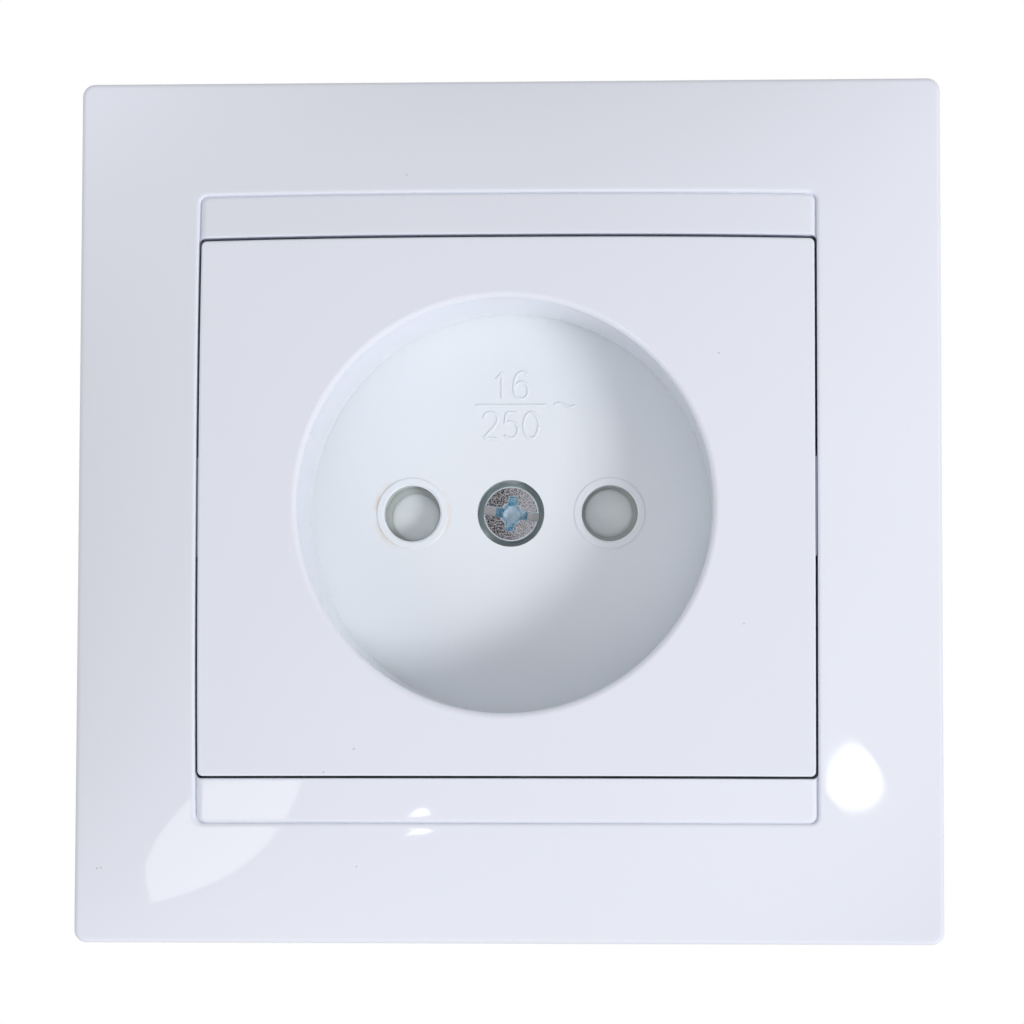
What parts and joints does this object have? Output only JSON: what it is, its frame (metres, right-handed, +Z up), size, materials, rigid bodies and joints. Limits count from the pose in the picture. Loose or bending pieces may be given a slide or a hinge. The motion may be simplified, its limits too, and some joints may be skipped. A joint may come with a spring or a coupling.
{
  "type": "wall socket",
  "caption": "Flush wall socket without earth: crowned cover frame, plate with round plug recess, rotary shutter, steel ring, spreading claws and screw terminals.",
  "frame": {"origin": "on the wall plane, at the axis of the centre screw, midway between the two box screws", "axes": "+X to the right and +Z up as seen from the front; the front looks along -Y and +Y points into the wall"},
  "size_m": [0.0822, 0.0397, 0.0822],
  "materials": {
    "white_plastic": "gloss, moulded",
    "shutter_plastic": "satin, moulded",
    "base_plastic": "satin, moulded",
    "zinc_steel": "zinc plated",
    "screw_zinc": "blue zinc plated",
    "spring_steel": "drawn wire",
    "contact_brass": "rolled strip"
  },
  "bodies": {
    "socket": {"cover_frame": "white_plastic", "centre_plate": "white_plastic", "centre_screw": "screw_zinc", "shutter_spring": "spring_steel", "support_ring": "zinc_steel", "ring_rivets": "zinc_steel", "base": "base_plastic", "centre_insert": "contact_brass", "rear_cover": "base_plastic", "cover_screws": "screw_zinc", "left_contact": "contact_brass", "right_contact": "contact_brass", "left_contact_clip": "spring_steel", "right_contact_clip": "spring_steel", "left_clamp_plate": "zinc_steel", "right_clamp_plate": "zinc_steel", "left_terminal_screw": "screw_zinc", "right_terminal_screw": "screw_zinc", "left_claw_screw": "screw_zinc", "right_claw_screw": "screw_zinc"},
    "shutter": {"shutter": "shutter_plastic"},
    "left_claw": {"left_claw": "zinc_steel"},
    "right_claw": {"right_claw": "zinc_steel"}
  },
  "joints": [
    {"name": "shutter_turn", "type": "hinge", "parent": "socket", "child": "shutter", "pos_m": [0, 0.0016, 0], "axis": [0, 1, 0], "range_deg": [0, 40], "stiffness_Nm_per_rad": 0.002, "springref_deg": -17.19, "deforming": ["shutter_spring"]},
    {"name": "left_claw_spread", "type": "hinge", "parent": "socket", "child": "left_claw", "pos_m": [-0.0203, 0.0034, 0], "axis": [0, 0, 1], "range_deg": [0, 18]},
    {"name": "right_claw_spread", "type": "hinge", "parent": "socket", "child": "right_claw", "pos_m": [0.0203, 0.0034, 0], "axis": [0, 0, -1], "range_deg": [0, 18]}
  ]
}
